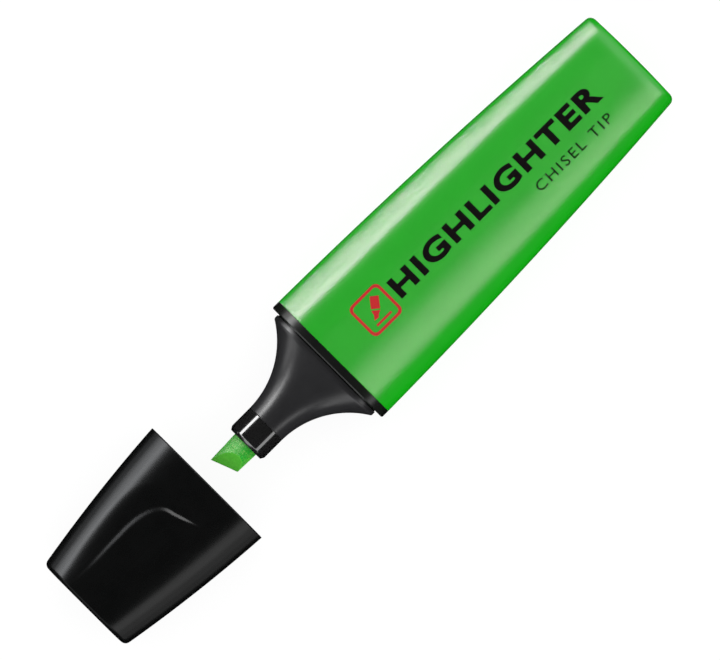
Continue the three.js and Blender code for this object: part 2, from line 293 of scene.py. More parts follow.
class Nodes:
    """A node tree under construction, with its Principled shader."""

    def __init__(self, name):
        self.material = bpy.data.materials.new(name)
        self.material.use_nodes = True
        self.tree = self.material.node_tree
        self.shader = self.tree.nodes["Principled BSDF"]
        self.place = self.tree.nodes.new("ShaderNodeTexCoord").outputs["Object"]

    def link(self, output, target):
        self.tree.links.new(output, target)

    def set(self, **values):
        for name, value in values.items():
            self.shader.inputs[name.replace("_", " ")].default_value = value

    def stretched(self, scale):
        """Object coordinates in metres times a scale along each axis."""
        mapping = self.tree.nodes.new("ShaderNodeMapping")
        mapping.inputs["Scale"].default_value = scale
        self.link(self.place, mapping.inputs["Vector"])
        return mapping.outputs["Vector"]

    def noise(self, scale, detail=3.0, roughness=0.55, distortion=0.0):
        """Noise whose features are 1/scale metres across, in one number or one for each axis."""
        scales = (scale,) * 3 if isinstance(scale, (int, float)) else scale
        texture = self.tree.nodes.new("ShaderNodeTexNoise")
        texture.inputs["Scale"].default_value = 1.0
        texture.inputs["Detail"].default_value = detail
        texture.inputs["Roughness"].default_value = roughness
        texture.inputs["Distortion"].default_value = distortion
        self.link(self.stretched(scales), texture.inputs["Vector"])
        return texture.outputs["Fac"]

    def ranged(self, value, low, high, start=0.3, end=0.7):
        """value spread from start..end to low..high."""
        node = self.tree.nodes.new("ShaderNodeMapRange")
        node.inputs["From Min"].default_value = start
        node.inputs["From Max"].default_value = end
        node.inputs["To Min"].default_value = low
        node.inputs["To Max"].default_value = high
        self.link(value, node.inputs["Value"])
        return node.outputs["Result"]

    def mixed(self, share, first, second):
        """A colour between two, each a colour or an output."""
        node = self.tree.nodes.new("ShaderNodeMix")
        node.data_type = "RGBA"
        self.link(share, node.inputs["Factor"])
        colours = [s for s in node.inputs if s.type == "RGBA"]
        for socket, value in zip(colours, (first, second), strict=False):
            if isinstance(value, tuple):
                socket.default_value = value
            else:
                self.link(value, socket)
        return next(o for o in node.outputs if o.type == "RGBA")

    def bump(self, height, depth_mm, strength=1.0, under=None):
        node = self.tree.nodes.new("ShaderNodeBump")
        node.inputs["Strength"].default_value = strength
        node.inputs["Distance"].default_value = depth_mm * MM
        self.link(height, node.inputs["Height"])
        if under is not None:
            self.link(under, node.inputs["Normal"])
        return node.outputs["Normal"]


def srgb(red, green, blue):
    """A colour given as 0 to 255 display values, as a linear one."""

    def linear(v):
        v /= 255
        return v / 12.92 if v <= 0.04045 else ((v + 0.055) / 1.055) ** 2.4

    return (linear(red), linear(green), linear(blue), 1.0)


def moulded(name, colour, shade, roughness, waves_mm, grain_mm, grain_scale, coat=0.0):
    """Injection-moulded plastic: a faint drift of colour, slow waves and a fine grain in its gloss."""
    n = Nodes(name)
    n.set(IOR=1.5, Coat_Weight=coat, Coat_Roughness=0.06, Coat_IOR=1.5)
    drift = n.ranged(n.noise(180, detail=4), 0, 1)
    n.link(n.mixed(drift, colour, shade), n.shader.inputs["Base Color"])
    scuff = n.noise((500, 1400, 1400), detail=5)
    n.link(n.ranged(scuff, roughness * 0.94, roughness * 1.06), n.shader.inputs["Roughness"])
    waves = n.bump(n.noise(260, detail=2), waves_mm)
    grain = n.bump(n.noise(grain_scale, detail=3), grain_mm, under=waves)
    n.link(grain, n.shader.inputs["Normal"])
    return n


def green_plastic():
    n = moulded(
        "green_plastic", srgb(0, 193, 6), srgb(0, 187, 4), 0.3, 0.004, 0.0012, 5200, coat=1.0
    )
    n.set(Specular_IOR_Level=0.0, Coat_IOR=2.5, Coat_Roughness=0.22)
    return n.material


def satin_black():
    n = moulded("satin_black", srgb(44, 44, 46), srgb(38, 38, 40), 0.3, 0.004, 0.005, 7000)
    n.set(IOR=1.6)
    return n.material


def collar_black():
    n = moulded("collar_black", srgb(24, 27, 24), srgb(19, 22, 19), 0.26, 0.002, 0.001, 5200)
    return n.material


def glossy_black():
    n = moulded("glossy_black", srgb(13, 14, 14), srgb(9, 10, 10), 0.27, 0.003, 0.001, 5200)
    n.set(Specular_IOR_Level=0.45)
    return n.material


def nozzle_black():
    n = moulded(
        "nozzle_black", srgb(32, 32, 32), srgb(26, 26, 26), 0.12, 0.002, 0.0008, 5200, coat=1.0
    )
    n.set(IOR=1.8, Coat_IOR=1.7, Coat_Roughness=0.08)
    return n.material


def seal_plastic():
    n = moulded("seal_plastic", srgb(226, 226, 218), srgb(214, 215, 206), 0.38, 0.003, 0.003, 4200)
    n.set(Subsurface_Weight=0.15, Subsurface_Scale=0.001)
    return n.material


def film_plastic():
    n = moulded("film_plastic", srgb(238, 242, 234), srgb(228, 236, 222), 0.16, 0.01, 0.002, 2400)
    n.set(Alpha=0.45)
    return n.material


def fibre(name, ink, pale, streak_scale, depth_mm, pale_from, pale_to):
    """Bonded fibre: streaks that run along the pen, pale where less ink sits between them."""
    n = Nodes(name)
    across = (streak_scale / 9, streak_scale, streak_scale)
    streaks = n.noise(across, detail=6, roughness=0.65, distortion=0.4)
    flecks = n.noise(streak_scale * 0.45, detail=5, roughness=0.7)
    patches = n.noise(700, detail=3)
    colour = n.mixed(n.ranged(streaks, 0, 1, pale_from, pale_to), ink, pale)
    shaded = n.mixed(n.ranged(patches, 0, 0.5, 0.35, 0.7), colour, ink)
    n.link(shaded, n.shader.inputs["Base Color"])
    n.link(n.ranged(flecks, 0.6, 0.95), n.shader.inputs["Roughness"])
    coarse = n.bump(flecks, depth_mm)
    n.link(n.bump(streaks, depth_mm * 0.6, under=coarse), n.shader.inputs["Normal"])
    n.set(Sheen_Weight=0.35, Sheen_Roughness=0.4)
    return n


def nib_fibre():
    """The side of the nib: packed fibres with pale crossing veins."""
    n = Nodes("nib_fibre")
    veins = n.noise((1500, 2600, 2600), detail=7, roughness=0.75, distortion=1.6)
    grain = n.noise(6000, detail=4)
    pale = n.mixed(n.ranged(veins, 0, 1, 0.5, 0.7), srgb(20, 192, 34), srgb(180, 224, 116))
    shaded = n.mixed(n.ranged(grain, 0, 0.35), pale, srgb(6, 180, 34))
    n.link(shaded, n.shader.inputs["Base Color"])
    n.link(n.ranged(grain, 0.34, 0.5), n.shader.inputs["Roughness"])
    n.link(n.bump(grain, 0.04, under=n.bump(veins, 0.16)), n.shader.inputs["Normal"])
    return n.material


def nib_cut_fibre_painted_light():
    """The cut faces of the nib, where the fibres' ends show as fine dots, in a lighter green than the
    side: painted light on the slanted end.
    """
    n = Nodes("nib_cut_fibre_painted_light")
    dots = n.noise(9000, detail=3)
    drift = n.noise(900, detail=3)
    # This lighter green than the side's is painted light where light falls on the cut end.
    soft = n.mixed(n.ranged(drift, 0, 1), srgb(84, 214, 44), srgb(100, 220, 56))
    shaded = n.mixed(n.ranged(dots, 0, 0.3), soft, srgb(66, 202, 32))
    n.link(shaded, n.shader.inputs["Base Color"])
    n.link(n.ranged(dots, 0.6, 0.8), n.shader.inputs["Roughness"])
    n.link(n.bump(dots, 0.02), n.shader.inputs["Normal"])
    return n.material


def core_fibre():
    n = fibre("core_fibre", srgb(92, 200, 46), srgb(176, 226, 120), 3600, 0.08, 0.45, 0.7)
    return n.material


def ink(name, colour, edge):
    """A printed ink film: slightly uneven cover and gloss."""
    n = Nodes(name)
    cover = n.noise(2600, detail=5, roughness=0.7)
    n.link(n.mixed(n.ranged(cover, 0, 1), colour, edge), n.shader.inputs["Base Color"])
    n.link(n.ranged(cover, 0.3, 0.42), n.shader.inputs["Roughness"])
    n.link(n.bump(cover, 0.002), n.shader.inputs["Normal"])
    return n.material


GREEN = green_plastic()
SATIN = satin_black()
COLLAR_BLACK = collar_black()
GLOSS = glossy_black()
NOZZLE_GLOSS = nozzle_black()
SEAL_WHITE = seal_plastic()
FILM_CLEAR = film_plastic()
NIB_GREEN = nib_fibre()
NIB_CUT_PAINTED_LIGHT_GREEN = nib_cut_fibre_painted_light()
CORE_GREEN = core_fibre()
BLACK_INK = ink("black_ink", srgb(20, 10, 16), srgb(28, 16, 22))
RED_INK = ink("red_ink", srgb(214, 18, 30), srgb(196, 22, 26))


# ---- Barrel ----

BARREL_EDGE_RADIUS = 1.1
BARREL_CROWN = 0.22
BACK_DIP, BACK_DIP_LENGTH = 0.26, 2.6  # how the wide faces ease down towards the back end


def barrel_power(x):
    """How square the barrel's section is at x."""
    t = (x - COLLAR_LENGTH) / (BARREL_BACK - COLLAR_LENGTH)
    return BODY_POWER + (BARREL_BACK_POWER - BODY_POWER) * t * t


def body_ring(x, inset):
    """The barrel's section at x, in from its outside by inset."""
    dip = BACK_DIP * max(0, 1 - (BARREL_BACK - x) / BACK_DIP_LENGTH) ** 2
    height = HALF_THICKNESS - dip - inset
    return ring_at(x, barrel_half_width(x) - inset, height, power=barrel_power(x))


def build_barrel():
    """The green shell: outside from its closed back end to its rim, then the inside back again."""
    front = COLLAR_LENGTH + SEAM
    back = BARREL_BACK - BARREL_CROWN
    inner = BARREL_BACK - BARREL_END_WALL
    edge = BARREL_EDGE_RADIUS + END_MARGIN
    inner_edge = BARREL_WALL + INNER_CORNER
    path = rounded_path(
        [
            (back, edge),
            (back, 0),
            (front, 0),
            (front, BARREL_WALL),
            (inner, BARREL_WALL),
            (inner, inner_edge),
        ],
        (BARREL_EDGE_RADIUS, 0.05, 0.1, 1.0),
        steps=9,
    )
    half_width = barrel_half_width(back) - edge
    half_height = HALF_THICKNESS - BACK_DIP - edge
    square = {"power": BARREL_BACK_POWER}
    outside_end = face_rings(back, half_width, half_height, BARREL_CROWN, **square)
    inner_width = barrel_half_width(inner) - inner_edge
    inner_height = HALF_THICKNESS - inner_edge
    inside_end = face_rings(inner, inner_width, inner_height, **square)[::-1]
    walls = [body_ring(x, inset) for x, inset in densified(path, 1.2)]
    rings = outside_end + walls + inside_end
    verts, faces = skin(rings)
    piece("barrel_shell", verts, faces, [GREEN], "pen", ["barrel"])


# ---- Front section ----


def flare(x, arc_radius):
    """How far the neck stands out from the nozzle's radius at x."""
    reach = x - NECK_ARC_FOOT
    return arc_radius - math.sqrt(arc_radius**2 - reach**2)


def neck_ring(x, wall=0.0):
    """The neck's section at x, or the funnel's inside it where a wall is given."""
    widest = HALF_WIDTH - REGISTER_INSET
    half_width = min(NOZZLE_RADIUS + flare(x, NECK_WIDTH_ARC), widest)
    half_height = NOZZLE_RADIUS + flare(x, NECK_HEIGHT_ARC)
    roundness = (widest - half_width) / (widest - NOZZLE_RADIUS)
    least = NECK_BORE_RADIUS
    return ring_at(x, max(half_width - wall, least), max(half_height - wall, least), roundness)


def collar_path():
    """Places along the register, collar and skirt, each with its depth in from the collar's side."""
    inset = REGISTER_INSET
    skirt = BARREL_WALL + FIT_GAP
    return rounded_path(
        [
            (-REGISTER_LENGTH, inset + REGISTER_CHAMFER / 2),
            (-REGISTER_LENGTH + REGISTER_CHAMFER, inset),
            (-GROOVE_LENGTH, inset),
            (-GROOVE_LENGTH, inset + GROOVE_DEPTH),
            (0, inset + GROOVE_DEPTH),
            (0, COLLAR_CHAMFER[1]),
            (COLLAR_CHAMFER[0], 0),
            (COLLAR_LENGTH, 0),
            (COLLAR_LENGTH, skirt),
            (SKIRT_END, skirt),
            (SKIRT_END, skirt + SKIRT_WALL),
            (COLLAR_LENGTH, skirt + SKIRT_WALL),
        ],
        (0.1, 0.06, 0.05, 0.05, 0.03, 0.03, 0.1, 0.05, 0.3, 0.3),
        steps=5,
    )


def build_front_section():
    """Neck, cap register, collar and skirt, with the funnel and bore through the middle."""
    neck_end = -REGISTER_LENGTH - REGISTER_CHAMFER
    neck = [neck_ring(x) for x in np.linspace(NOZZLE_BACK, neck_end, 60)]
    outside = [
        ring_at(x, HALF_WIDTH - inset, HALF_THICKNESS - inset)
        for x, inset in densified(collar_path(), 0.8)
    ]
    funnel = [neck_ring(x, NECK_WALL) for x in np.linspace(-REGISTER_LENGTH, SPIGOT_BACK, 20)]
    bore = [
        ring_at(x, NECK_BORE_RADIUS, NECK_BORE_RADIUS, 1.0)
        for x in np.linspace(SPIGOT_BACK - 0.3, NOZZLE_BACK, 6)
    ]
    verts, faces = skin(neck + outside + funnel + bore, loop=True)
    blacks = [SATIN, COLLAR_BLACK]
    name = "front_section_shell"
    made = piece(name, verts, faces, blacks, "pen", ["front_section"])
    collar = (SEAT - GROOVE_LENGTH) * MM
    for face in made.data.polygons:
        face.material_index = int(face.center.x > collar)


# ---- Nozzle ----


def build_nozzle():
    """The turned sleeve: its spigot, bore and chamfered front, then its outside."""
    spigot = NECK_BORE_RADIUS - FIT_GAP
    shoulder = NOZZLE_BACK - SEAM
    path = rounded_path(
        [
            (shoulder, spigot),
            (SPIGOT_BACK, spigot),
            (SPIGOT_BACK, NOZZLE_BORE_RADIUS),
            (NOZZLE_FRONT, NOZZLE_BORE_RADIUS),
            (NOZZLE_FRONT, NOZZLE_RADIUS - NOZZLE_CHAMFER[1]),
            (NOZZLE_FRONT + NOZZLE_CHAMFER[0], NOZZLE_RADIUS),
            (shoulder, NOZZLE_RADIUS),
            (shoulder, spigot + SEAM),
        ],
        (0.25, 0.1, 0.15, 0.18, 0.15, 0.05),
        steps=6,
    )
    verts, faces = skin(turned(densified(path, 1.0)), loop=True)
    piece("nozzle_sleeve", verts, faces, [NOZZLE_GLOSS], "pen", ["nozzle"], 50)


# ---- Nib ----

NIB_SEATED = NOZZLE_FRONT + 1.5  # from here back the nib is a plain round rod
NIB_HALF_COUNT = 72  # steps round half of the nib
NIB_ROWS = 90  # rings from the chisel edge to where the nib is seated
NIB_BACK_ROWS = ((3.0, 1.0), (0.4, 0.68), (0.0, 0.6))  # distance from the back end, share of size
NIB_EDGE_ROUND = 0.04  # how far the worn edge stays back from the full length
NIB_BEVEL_BLEND = 0.12  # how widely the bevels run into the round rod
EDGE_STEPS = 4  # rows of faces over the blunt front edge
EDGE_BULGE = 0.05  # how far the blunt edge bulges forward


def soft_min(a, b, blend):
    """The smaller of two numbers, with the change from one to the other rounded over blend."""
    h = np.clip(0.5 + 0.5 * (b - a) / blend, 0, 1)
    return b + (a - b) * h - blend * h * (1 - h)


def fibre_wobble(point, seed, across, lengthwise):
    """Noise from about -1 to 1 that is drawn out along the pen."""
    return noise.noise(Vector((point[0] / lengthwise + seed, point[1] / across, point[2] / across)))


def closed_ring(upper):
    """A ring from its upper half, whose ends lie on the pen's middle plane."""
    lower = upper[1:-1][::-1] * [1, 1, -1]
    return np.concatenate([upper, lower])


def nib_forward():
    """The direction in plan that the slanted end of the nib faces."""
    forward = np.array([-2 * NIB_RADIUS, NIB_LONG_SIDE - NIB_SHORT_SIDE])
    return forward / np.linalg.norm(forward)


def nib_rings(radius, forward):
    """Rings from the nib's chisel edge back to its end in the reservoir."""
    turns = np.linspace(0, math.pi, NIB_HALF_COUNT + 1)
    y = radius * np.cos(turns)
    slant = (NIB_SHORT_SIDE - NIB_LONG_SIDE) / (2 * NIB_RADIUS)
    end_x = NIB_LONG_SIDE + (NIB_RADIUS - y) * slant + NIB_EDGE_ROUND
    rings = []
    for share in np.linspace(0, 1, NIB_ROWS) ** 1.15:
        x = end_x * (1 - share) + NIB_SEATED * share
        behind = -((x - end_x[NIB_HALF_COUNT // 2]) * forward[0] + y * forward[1])
        limit = NIB_EDGE_HALF_THICKNESS + math.tan(NIB_BEVEL_ANGLE) * behind
        z = soft_min(radius * np.sin(turns), np.maximum(limit, 0.02), NIB_BEVEL_BLEND)
        z[0] = z[-1] = 0
        narrowing = NIB_TAPER * np.clip((NOZZLE_FRONT - x) / (NOZZLE_FRONT - NIB_LONG_SIDE), 0, 1)
        rings.append(closed_ring(np.column_stack([x, y * (1 - narrowing), np.maximum(z, 0)])))
    for distance, scale in NIB_BACK_ROWS:
        z = radius * np.sin(turns) * scale
        rings.append(closed_ring(np.column_stack([np.full_like(y, NIB_BACK - distance), y * scale, z])))
    return rings


def build_nib():
    """A round fibre rod with a slanted chisel end, slightly worn at its edges."""
    forward = nib_forward()
    verts, faces = chisel_skin(nib_rings(NIB_RADIUS - 0.01, forward))
    verts = roughened(verts)
    # The faces that lean forward take the lighter green: painted light on the slanted end.
    finishes = [NIB_GREEN, NIB_CUT_PAINTED_LIGHT_GREEN]
    made = piece("nib_chisel", verts, faces, finishes, "pen", ["nib"])
    for face in made.data.polygons:
        leaning = face.normal.x * forward[0] + face.normal.y * forward[1]
        face.material_index = int(leaning > math.sin(NIB_BEVEL_ANGLE) / 2)


def edge_columns(front, verts):
    """Columns of vertex numbers down the nib's blunt front edge. It adds the points between."""
    count = len(front)
    columns = []
    for i in range(NIB_HALF_COUNT + 1):
        low = (count - i) % count if 0 < i < NIB_HALF_COUNT else i
        column = [i]
        if low != i:
            for s in range(1, EDGE_STEPS):
                t = s / EDGE_STEPS
                point = front[i] * (1 - t) + front[low] * t
                point[0] -= EDGE_BULGE * math.sin(math.pi * t)
                verts.append(point)
                column.append(len(verts) - 1)
            column.append(low)
        columns.append(column)
    return columns


def chisel_skin(rings):
    """The skin over the nib's rings, with a blunt edge for its front end."""
    verts, faces = skin(rings)
    front_centre = len(verts) - 2
    faces = [f for f in faces if front_centre not in f]
    verts = list(verts)
    columns = edge_columns(rings[0], verts)
    for left, right in zip(columns, columns[1:], strict=False):
        if len(left) == 1:
            faces += [(left[0], right[s], right[s + 1]) for s in range(EDGE_STEPS)]
        elif len(right) == 1:
            faces += [(left[s], right[0], left[s + 1]) for s in range(EDGE_STEPS)]
        else:
            faces += [(left[s], right[s], right[s + 1], left[s + 1]) for s in range(EDGE_STEPS)]
    used = sorted({i for f in faces for i in f})
    renumber = {old: new for new, old in enumerate(used)}
    return np.array(verts)[used], [tuple(renumber[i] for i in f) for f in faces]


def roughened(verts):
    """The nib's surface in front of the nozzle, uneven where the fibres are cut and packed."""
    moved = verts.copy()
    for i, p in enumerate(verts):
        if p[0] > NIB_SEATED - 1:
            continue
        rise = 0.035 * fibre_wobble(p, 3.1, 0.28, 1.4) + 0.02 * fibre_wobble(p, 9.7, 0.12, 0.3)
        out = np.array([0, p[1], p[2]])
        moved[i] = p + out / max(np.linalg.norm(out), 0.3) * (rise - 0.02)
    return moved


# ---- Ink reservoir and film ----

CORE_EDGE = 1.2  # how wide a margin round the block's ends its rounded edges take
SOCKET_DEPTH = 9.0
SOCKET_CHAMFER = 0.2
FILM_THICKNESS = 0.3


def round_ring(x, radius):
    return ring_at(x, radius, radius, 1.0)


def build_reservoir():
    """The block of fibre: the socket that the nib reaches into, then its front, sides and back."""
    front, back = along(CORE_LOW.x), along(CORE_HIGH.x)
    half_width, half_height = CORE_HIGH.y / MM, (CORE_HIGH.z - CORE_LOW.z) / 2 / MM
    path = rounded_path(
        [(front, CORE_EDGE), (front, 0), (back, 0), (back, CORE_EDGE)],
        (0.5, 0.5),
        steps=5,
    )
    sides = [ring_at(x, half_width - inset, half_height - inset) for x, inset in densified(path, 1.5)]
    radius = NIB_RADIUS + FIT_GAP
    floor = [round_ring(front + SOCKET_DEPTH, radius * s) for s in (0.05, 0.6)]
    socket = [round_ring(front + depth, radius) for depth in (SOCKET_DEPTH, 4, SOCKET_CHAMFER)]
    mouth = [round_ring(front, radius + SOCKET_CHAMFER)]
    inner = (half_width - CORE_EDGE, half_height - CORE_EDGE)
    front_face = [
        ring_at(front, *(radius * (1 - t) + size * t for size in inner), 1 - t)
        for t in (0.3, 0.6, 0.9)
    ]
    end_face = face_rings(back, *inner)[::-1]
    verts, faces = skin(floor + socket + mouth + front_face + sides + end_face)
    piece("reservoir_core", verts, faces, [CORE_GREEN], "pen", ["ink_reservoir"])


def build_film():
    """The open-ended film round the block of fibre."""
    front, back = along(FILM_LOW.x), along(FILM_HIGH.x)
    half_width, half_height = FILM_HIGH.y / MM, (FILM_HIGH.z - FILM_LOW.z) / 2 / MM
    inside = FILM_THICKNESS
    path = rounded_path(
        [(front, inside / 2), (front, 0), (back, 0), (back, inside), (front, inside)],
        (0.1, 0.1, 0.1),
        steps=3,
    )
    rings = [ring_at(x, half_width - inset, half_height - inset) for x, inset in densified(path, 2)]
    verts, faces = skin(rings, loop=True)
    piece("reservoir_film_wrap", verts, faces, [FILM_CLEAR], "pen", ["reservoir_film"])


# ---- Cap ----

CAP_EDGE_RADIUS = 0.9
CAP_STEPS = {"quarter_steps": 60, "strip_steps": 32}

# The relief on each wide face is a shallow step down along this line. Each point gives its distance
# from the cap's closed end and to one side of the axis, then the step's depth and its width.
RELIEF_LINE = (
    (1.8, 4.2, 0.0, 0.3),
    (4.4, 4.15, 0.09, 0.5),
    (7.1, 4.15, 0.21, 0.75),
    (11.8, 4.3, 0.31, 0.95),
    (15.5, 4.3, 0.36, 1.05),
    (18.1, 3.95, 0.38, 1.05),
    (20.3, 3.1, 0.4, 0.95),
    (21.6, 1.9, 0.46, 0.88),
    (22.2, 0.0, 0.48, 0.84),
    (23.0, -2.4, 0.36, 0.64),
    (23.9, -5.0, 0.0, 0.2),
)
RELIEF_FADE_WIDTH = 4.5  # how far beyond the step the face comes back to its full height
RELIEF_LOWEST = 0.75  # the relief is on what stands higher than this share of half the thickness


def cap_ring(depth, inset):
    """The cap's section at a depth from its rim, in from its outside by inset."""
    half_width = cap_half_width(depth) - inset
    return ring_at(CAP_RIM - depth, half_width, HALF_THICKNESS - inset, **CAP_STEPS)


def smooth_line(points, steps=16):
    """Points along a smooth curve through the given ones."""
    points = np.array(points, float)
    padded = np.concatenate([[2 * points[0] - points[1]], points, [2 * points[-1] - points[-2]]])
    found = []
    for i in range(1, len(padded) - 2):
        a, b, c, d = padded[i - 1 : i + 3]
        for t in np.linspace(0, 1, steps, endpoint=False):
            cubic = (3 * b - a - 3 * c + d) * t**3 + (2 * a - 5 * b + 4 * c - d) * t**2
            found.append((cubic + (c - a) * t + 2 * b) / 2)
    found.append(points[-1])
    return np.array(found)


def eased(share):
    """A share from 0 to 1 with its change rounded off at both ends."""
    return share * share * (3 - 2 * share)


def nearest_on_line(line, points):
    """Each point's distance beyond the line, below 0 before it, and the step's depth and width there."""
    start, step = line[:-1, :2], np.diff(line[:, :2], axis=0)
    points = points[:, None]
    share = np.clip(((points - start) * step).sum(2) / (step**2).sum(1), 0, 1)
    off = points - (start + share[..., None] * step)
    distance = np.linalg.norm(off, axis=2)
    nearest = distance.argmin(1)
    rows = np.arange(len(distance))
    reach = distance[rows, nearest]
    outward = step[nearest, 0] * off[rows, nearest, 1] - step[nearest, 1] * off[rows, nearest, 0]
    t = share[rows, nearest]
    depth, width = (line[nearest, 2:] * (1 - t)[:, None] + line[nearest + 1, 2:] * t[:, None]).T
    return np.where(outward > 0, reach, -reach), depth, width


def relief_depth(from_end, side):
    """How far the cap's wide face dips at each point beyond the relief's line."""
    beyond, depth, width = nearest_on_line(smooth_line(RELIEF_LINE), np.column_stack([from_end, side]))
    edge = np.clip(beyond / width + 0.5, 0, 1)
    edge = 0.85 * edge + 0.15 * eased(edge)
    fade = eased(np.clip(1 - (beyond - width / 2) / RELIEF_FADE_WIDTH, 0, 1))
    return depth * edge * fade


def cap_path(inner_depth):
    """Depths from the rim, each with an inset, over the cap's outside and back along its inside."""
    return rounded_path(
        [
            (CAP_LENGTH, CAP_EDGE_RADIUS + END_MARGIN),
            (CAP_LENGTH, 0),
            (0, 0),
            (0, CAP_WALL),
            (inner_depth, CAP_WALL),
            (inner_depth, CAP_WALL + INNER_CORNER),
        ],
        (CAP_EDGE_RADIUS, 0.1, 0.25, 1.0),
        steps=9,
    )


def cap_end(depth, edge):
    """Rings over the cap's closed end at a depth from the rim, out to edge from its side."""
    half_width = cap_half_width(depth) - edge
    return face_rings(CAP_RIM - depth, half_width, HALF_THICKNESS - edge, **CAP_STEPS)


def press_relief(ring):
    """Presses the relief into both wide faces of one ring of the cap's outside."""
    for face in (1, -1):
        near = ring[:, 2] * face > HALF_THICKNESS * RELIEF_LOWEST
        from_end = ring[near, 0] - (CAP_RIM - CAP_LENGTH)
        ring[near, 2] -= face * relief_depth(from_end, ring[near, 1] * face)


def build_cap():
    """The cap: outside from its closed end to its rim, then the inside back again."""
    inner_depth = CAP_LENGTH - CAP_END_WALL
    path = cap_path(inner_depth)
    rim = next(i for i, (depth, _) in enumerate(path) if depth < 1e-6)
    outside = [cap_ring(depth, inset) for depth, inset in densified(path[: rim + 1], 0.16)]
    inside = [cap_ring(depth, inset) for depth, inset in densified(path[rim:], 1.0)[1:]]
    for ring in outside:
        press_relief(ring)
    outside_end = cap_end(CAP_LENGTH, CAP_EDGE_RADIUS + END_MARGIN)
    inside_end = cap_end(inner_depth, CAP_WALL + INNER_CORNER)[::-1]
    verts, faces = skin(outside_end + outside + inside + inside_end)
    piece("cap_shell_fine", verts, faces, [GLOSS], "cap", ["cap_shell"])


def build_seal():
    """The cup in the cap that closes round the nozzle, with a bead at its lip."""
    back, front = along(SEAL_LOW.x), along(SEAL_HIGH.x)
    floor = CAP_RIM - SEAL_FLOOR_DEPTH
    waist = SEAL_OUTER_RADIUS - SEAL_BEAD
    path = rounded_path(
        [
            (back, 0.05),
            (back, SEAL_FLANGE_RADIUS),
            (back + 1, SEAL_FLANGE_RADIUS),
            (back + 1, waist),
            (front - 1.2, waist),
            (front - 1.0, SEAL_OUTER_RADIUS),
            (front, SEAL_OUTER_RADIUS),
            (front, SEAL_INNER_RADIUS + 0.4),
            (front - 0.5, SEAL_INNER_RADIUS),
            (floor, SEAL_INNER_RADIUS),
            (floor, 0.05),
        ],
        (0.2, 0.2, 0.5, 0.1, 0.1, 0.3, 0.15, 0.1, 0.5),
        steps=5,
    )
    verts, faces = skin(turned(densified(path, 0.8), sides=96))
    piece("cap_seal_cup", verts, faces, [SEAL_WHITE], "cap", ["cap_seal"])


# ---- Print ----

INK_THICKNESS = 0.02

# Where each print lies: from and to along the pen, then from and to across it.
BADGE_PLACE = ((8.9, 15.9), (-3.0, 4.0))
WORD_PLACE = ((17.0, 66.3), (-1.4, 2.6))
SMALL_WORD_PLACE = ((47.0, 64.8), (-5.35, -3.5))


def top_height(x, y):
    """The height of the barrel's upper face over the pen's axis, at a place in plan."""
    half_width = barrel_half_width(x)
    strip = half_width * BODY_FLAT_SHARE
    share = np.clip((np.abs(y) - strip) / (half_width - strip), 0, 1)
    power = barrel_power(x)
    return HALF_THICKNESS * (1 - share**power) ** (1 / power)


def stretched_to(work, x_range, y_range):
    """Stretches a flat mesh to fill the given ranges, with its thickness from 0 to 1."""
    co = np.array([v.co for v in work.verts])
    low, size = co.min(0), co.max(0) - co.min(0)
    for v in work.verts:
        share = (np.array(v.co) - low) / size
        x = x_range[0] + share[0] * (x_range[1] - x_range[0])
        y = y_range[0] + share[1] * (y_range[1] - y_range[0])
        v.co = (x, y, share[2])


def cut_across(work, normal, span, pitch):
    """Cuts the mesh with planes so that it can bend with the barrel's face."""
    start, end = span
    for at in np.arange(start + pitch, end, pitch):
        everything = work.verts[:] + work.edges[:] + work.faces[:]
        bmesh.ops.bisect_plane(work, geom=everything, plane_co=normal * at, plane_no=normal)


def print_piece(name, flat, x_range, y_range, material):
    """Lays a flat mesh with thickness on the barrel, stretched to fill the given ranges."""
    work = bmesh.new()
    work.from_mesh(flat)
    stretched_to(work, x_range, y_range)
    cut_across(work, Vector((1, 0, 0)), x_range, 1.2)
    cut_across(work, Vector((0, 1, 0)), y_range, 0.35)
    bmesh.ops.triangulate(work, faces=work.faces)
    bmesh.ops.remove_doubles(work, verts=work.verts, dist=1e-4)
    work.verts.index_update()
    verts = []
    for v in work.verts:
        lift = INK_THICKNESS if v.co.z > 0.5 else -INK_THICKNESS
        verts.append((v.co.x, v.co.y, float(top_height(v.co.x, v.co.y)) + lift))
    faces = [tuple(v.index for v in f.verts) for f in work.faces]
    work.free()
    return piece(name, verts, faces, [material], "pen", sharp_degrees=40)


def word_mesh(text, weight, spacing):
    """A word in Blender's own font as a flat mesh with a little thickness."""
    curve = bpy.data.curves.new("word", "FONT")
    curve.body = text
    curve.size = 1
    curve.offset = weight
    curve.space_character = spacing
    curve.extrude = 0.01
    curve.resolution_u = 6
    holder = bpy.data.objects.new("word", curve)
    bpy.context.scene.collection.objects.link(holder)
    bpy.context.view_layer.update()
    graph = bpy.context.evaluated_depsgraph_get()
    mesh = bpy.data.meshes.new_from_object(holder.evaluated_get(graph))
    bpy.data.objects.remove(holder)
    return mesh


def ring_outline(half, corner, steps=8):
    """A rounded square of the given half side, anticlockwise."""
    points = []
    for quarter in range(4):
        turn = quarter * math.pi / 2
        centre = Vector((half - corner, half - corner)).to_3d()
        for i in range(steps + 1):
            a = i / steps * math.pi / 2
            point = centre + Vector((math.cos(a), math.sin(a), 0)) * corner
            points.append(Matrix.Rotation(turn, 3, "Z") @ point)
    return points


def band(work, first, second):
    """Faces between two closed rows of vertices."""
    count = len(first)
    for i in range(count):
        j = (i + 1) % count
        work.faces.new((first[i], first[j], second[j], second[i]))


